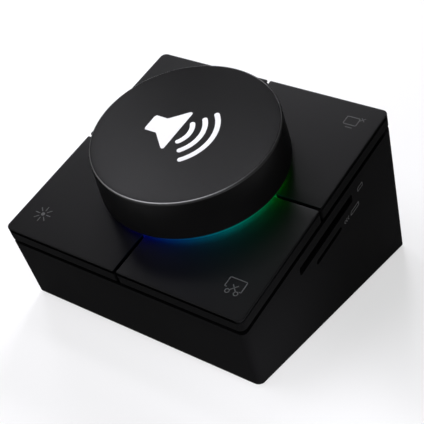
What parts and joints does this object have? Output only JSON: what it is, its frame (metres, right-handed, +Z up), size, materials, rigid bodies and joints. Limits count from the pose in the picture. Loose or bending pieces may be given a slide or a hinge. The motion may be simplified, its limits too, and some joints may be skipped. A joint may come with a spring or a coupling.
{
  "type": "usb hub with volume knob",
  "caption": "Wedge-shaped desk USB hub: a large round volume knob over a glowing ring on a sloping square top, set among quadrant keys, with card slots in its side.",
  "frame": {"origin": "on the desk, under the middle of the outer box", "axes": "+X to the side with the card slots, +Y to the tall back, +Z up"},
  "size_m": [0.068, 0.0806, 0.055],
  "materials": {
    "housing_plastic": "fine satin texture",
    "base_plastic": "moulded",
    "deck_plastic": "moulded",
    "key_plastic": "soft satin",
    "knob_aluminium": "black anodised, rounded edge",
    "hub_plastic": "moulded",
    "ring_diffuser": "frosted, lit from below",
    "foot_rubber": "matt",
    "board_laminate": "solder mask",
    "socket_steel": "nickel plated sheet",
    "screw_steel": "zinc plated",
    "encoder_metal": "turned",
    "black_resin": "moulded",
    "white_nylon": "moulded",
    "lamp_resin": "clear cast"
  },
  "bodies": {
    "base": {"housing": "housing_plastic", "base_cover": "base_plastic", "base_screws": "screw_steel", "rubber_feet": "foot_rubber", "deck": "deck_plastic", "deck_screws": "screw_steel", "main_board": "board_laminate", "board_screws": "screw_steel", "chips": "black_resin", "sd_socket": "socket_steel", "micro_sd_socket": "socket_steel", "usb_a_shells": "socket_steel", "usb_a_tongues": "black_resin", "usb_c_shell": "socket_steel", "usb_c_tongue": "black_resin", "led_board": "board_laminate", "led_screws": "screw_steel", "leds": "lamp_resin", "led_header": "black_resin", "light_ring": "ring_diffuser", "encoder_body": "encoder_metal", "encoder_washer": "screw_steel", "encoder_nut": "screw_steel", "switch_bodies": "black_resin"},
    "press_stem": {"encoder_plunger": "white_nylon"},
    "knob": {"encoder_shaft": "encoder_metal", "knob_shell": "knob_aluminium", "knob_hub": "hub_plastic"},
    "front_left_key": {"key_front_left": "key_plastic", "plunger_front_left": "white_nylon"},
    "front_right_key": {"key_front_right": "key_plastic", "plunger_front_right": "white_nylon"},
    "back_left_key": {"key_back_left": "key_plastic", "plunger_back_left": "white_nylon"},
    "back_right_key": {"key_back_right": "key_plastic", "plunger_back_right": "white_nylon"}
  },
  "joints": [
    {"name": "knob_press", "type": "slide", "parent": "base", "child": "press_stem", "axis": [0, 0.342, -0.9397], "range_m": [0, 0.0005], "stiffness_N_per_m": 5000, "springref_m": -0.0004},
    {"name": "knob_turn", "type": "hinge", "parent": "press_stem", "child": "knob", "pos_m": [0, -0.00836, 0.03498], "axis": [0, -0.342, 0.9397], "continuous": true},
    {"name": "front_left_press", "type": "slide", "parent": "base", "child": "front_left_key", "axis": [0, 0.342, -0.9397], "range_m": [0, 0.0006], "stiffness_N_per_m": 2500, "springref_m": -0.0005},
    {"name": "front_right_press", "type": "slide", "parent": "base", "child": "front_right_key", "axis": [0, 0.342, -0.9397], "range_m": [0, 0.0006], "stiffness_N_per_m": 2500, "springref_m": -0.0005},
    {"name": "back_left_press", "type": "slide", "parent": "base", "child": "back_left_key", "axis": [0, 0.342, -0.9397], "range_m": [0, 0.0006], "stiffness_N_per_m": 2500, "springref_m": -0.0005},
    {"name": "back_right_press", "type": "slide", "parent": "base", "child": "back_right_key", "axis": [0, 0.342, -0.9397], "range_m": [0, 0.0006], "stiffness_N_per_m": 2500, "springref_m": -0.0005}
  ]
}
